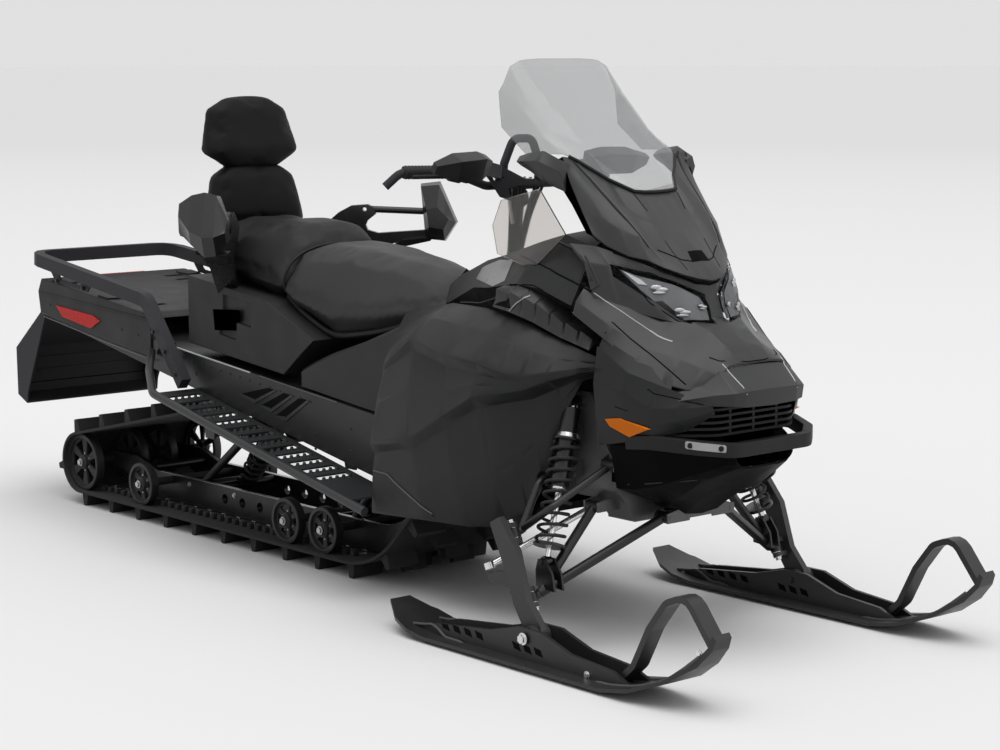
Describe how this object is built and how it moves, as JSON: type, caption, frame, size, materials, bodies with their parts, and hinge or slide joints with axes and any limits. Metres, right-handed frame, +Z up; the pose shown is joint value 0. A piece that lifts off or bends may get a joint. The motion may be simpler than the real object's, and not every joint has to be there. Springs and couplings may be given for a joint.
{
  "type": "snowmobile",
  "caption": "Two-up utility snowmobile with a wide track, steerable skis, tall windshield, passenger seat with backrest and rear cargo rack.",
  "frame": {"origin": "on the ground under the middle of the machine's bounding box", "axes": "+Z up, +Y towards the tail, +X to the machine's left"},
  "size_m": [1.086, 3.374, 1.411],
  "materials": {
    "track_rubber": "moulded rubber",
    "rail_aluminium": "black anodised extrusion",
    "wheel_plastic": "moulded black plastic with rubber tread",
    "black_steel": "black powder coat",
    "damper": "black damper body",
    "tunnel_paint": "black painted aluminium sheet",
    "deck_plastic": "grained black plastic",
    "flap_plastic": "black moulded rubbery plastic",
    "lamp_red": "red lens",
    "lamp_amber": "amber lens",
    "rider_vinyl": "grained vinyl",
    "passenger_vinyl": "grained vinyl",
    "backrest_vinyl": "grained vinyl",
    "body_plastic": "satin black plastic",
    "trim_plastic": "black plastic",
    "glossy_shield": "gloss black plastic",
    "lens": "clear lens",
    "smoke_screen": "smoke grey polycarbonate",
    "clear_deflector": "tinted clear polycarbonate",
    "frame_grey": "bare aluminium sheet",
    "engine_metal": "plain block",
    "forged_black": "black forged aluminium",
    "bright_steel": "plated steel",
    "ski_plastic": "moulded black plastic",
    "bar_black": "black bar and rubber grips"
  },
  "bodies": {
    "chassis": {"backrest_frame": "black_steel", "backrest_headrest": "backrest_vinyl", "backrest_lower": "backrest_vinyl", "belly_pan": "body_plastic", "bogie_wheels": "wheel_plastic", "bulkhead": "frame_grey", "cargo_deck": "deck_plastic", "carrier_wheels": "wheel_plastic", "console": "body_plastic", "drive_axle": "wheel_plastic", "engine_block": "engine_metal", "engine_pan": "trim_plastic", "fairing": "body_plastic", "front_bumper": "black_steel", "front_reflectors": "lamp_amber", "front_swing_arm": "black_steel", "gauge": "trim_plastic", "grille": "trim_plastic", "headlamps": "lens", "hood": "body_plastic", "idler_wheels": "wheel_plastic", "lower_arm_left": "black_steel", "lower_arm_right": "black_steel", "nose": "body_plastic", "nose_sides": "body_plastic", "passenger_grips": "glossy_shield", "passenger_seat": "passenger_vinyl", "rear_rack": "black_steel", "rear_swing_arm": "black_steel", "rider_seat": "rider_vinyl", "running_board_left": "tunnel_paint", "running_board_right": "tunnel_paint", "seat_base": "deck_plastic", "shock_left": "damper", "shock_right": "damper", "side_deflectors": "clear_deflector", "side_panel_left": "body_plastic", "side_panel_right": "body_plastic", "side_reflectors": "lamp_red", "side_vents": "trim_plastic", "slide_rails": "rail_aluminium", "snow_flap": "flap_plastic", "tail_lamp": "lamp_red", "tow_hitch": "black_steel", "track": "track_rubber", "track_shocks": "damper", "tunnel": "tunnel_paint", "upper_arm_left": "black_steel", "upper_arm_right": "black_steel", "windshield": "smoke_screen"},
    "steering": {"handlebar": "bar_black", "steering_post": "bar_black", "hand_guards": "trim_plastic"},
    "spindle_right": {"spindle_right": "forged_black"},
    "spindle_left": {"spindle_left": "forged_black"},
    "tie_rod_right": {"tie_rod_right": "bright_steel"},
    "tie_rod_left": {"tie_rod_left": "bright_steel"},
    "ski_right": {"ski_right": "ski_plastic"},
    "ski_left": {"ski_left": "ski_plastic"}
  },
  "joints": [
    {"name": "steering", "type": "hinge", "parent": "chassis", "child": "steering", "pos_m": [0, -0.505, 1.072], "axis": [0, -0.1424, 0.9898], "range_deg": [-32, 32]},
    {"name": "spindle_right", "type": "hinge", "parent": "chassis", "child": "spindle_right", "pos_m": [-0.428, -1.03, 0.145], "axis": [0, 0.4091, 0.9125], "range_deg": [-26, 26]},
    {"name": "ski_right_pitch", "type": "hinge", "parent": "spindle_right", "child": "ski_right", "pos_m": [-0.463, -1.085, 0.068], "axis": [1, 0, 0], "range_deg": [-20, 12]},
    {"name": "tie_rod_right", "type": "hinge", "parent": "spindle_right", "child": "tie_rod_right", "pos_m": [-0.448, -0.905, 0.19], "axis": [0, 0.4091, 0.9125], "range_deg": [-26, 26]},
    {"name": "spindle_left", "type": "hinge", "parent": "chassis", "child": "spindle_left", "pos_m": [0.428, -1.03, 0.145], "axis": [0, 0.4091, 0.9125], "range_deg": [-26, 26]},
    {"name": "ski_left_pitch", "type": "hinge", "parent": "spindle_left", "child": "ski_left", "pos_m": [0.463, -1.085, 0.068], "axis": [1, 0, 0], "range_deg": [-20, 12]},
    {"name": "tie_rod_left", "type": "hinge", "parent": "spindle_left", "child": "tie_rod_left", "pos_m": [0.448, -0.905, 0.19], "axis": [0, 0.4091, 0.9125], "range_deg": [-26, 26]}
  ],
  "couplings": [
    {"joint": "spindle_right", "follows": "steering", "ratio": 0.8},
    {"joint": "tie_rod_right", "follows": "steering", "ratio": -0.8},
    {"joint": "spindle_left", "follows": "steering", "ratio": 0.8},
    {"joint": "tie_rod_left", "follows": "steering", "ratio": -0.8}
  ]
}
